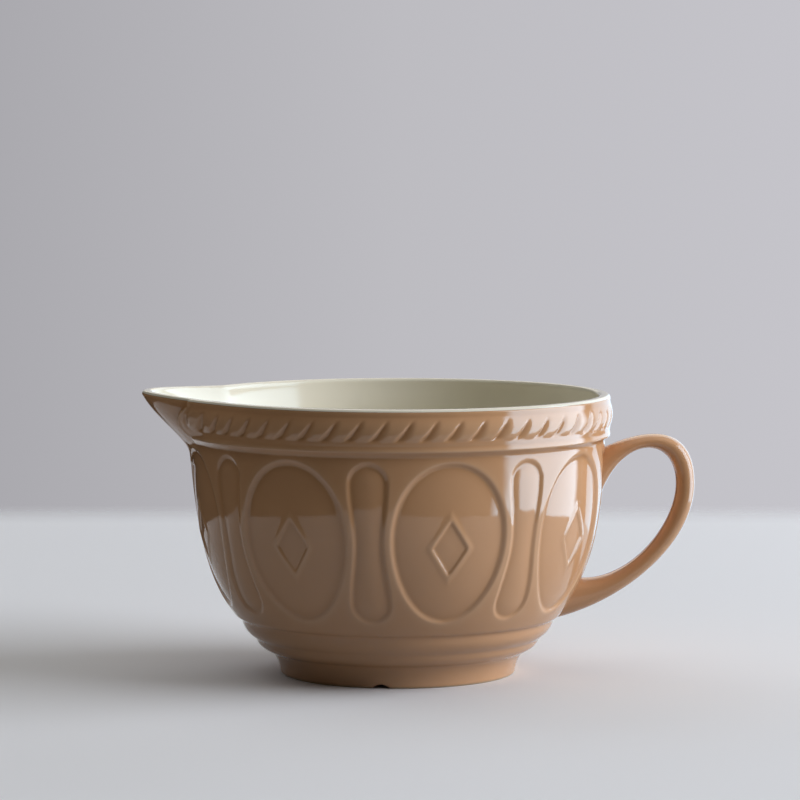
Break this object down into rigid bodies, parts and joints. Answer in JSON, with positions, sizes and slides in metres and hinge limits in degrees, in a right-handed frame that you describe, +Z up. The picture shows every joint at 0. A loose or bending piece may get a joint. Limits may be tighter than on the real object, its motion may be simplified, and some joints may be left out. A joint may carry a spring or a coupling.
{
  "type": "batter bowl",
  "caption": "Deep round stoneware bowl with a pouring lip, a loop handle, a rope band under the rim, moulded ovals and lozenges, and a stepped foot.",
  "frame": {"origin": "on the bowl's axis, at the table under the foot", "axes": "+Z up along the bowl's axis, the pouring lip towards -X and the handle towards +X"},
  "size_m": [0.2668, 0.2074, 0.1367],
  "materials": {
    "cane_glaze": "glossy transparent glaze over cane stoneware",
    "white_glaze": "glossy cream-white glaze"
  },
  "bodies": {
    "root": {"bowl_body": "cane_glaze", "handle": "cane_glaze", "inside_glaze": "white_glaze"}
  },
  "joints": []
}
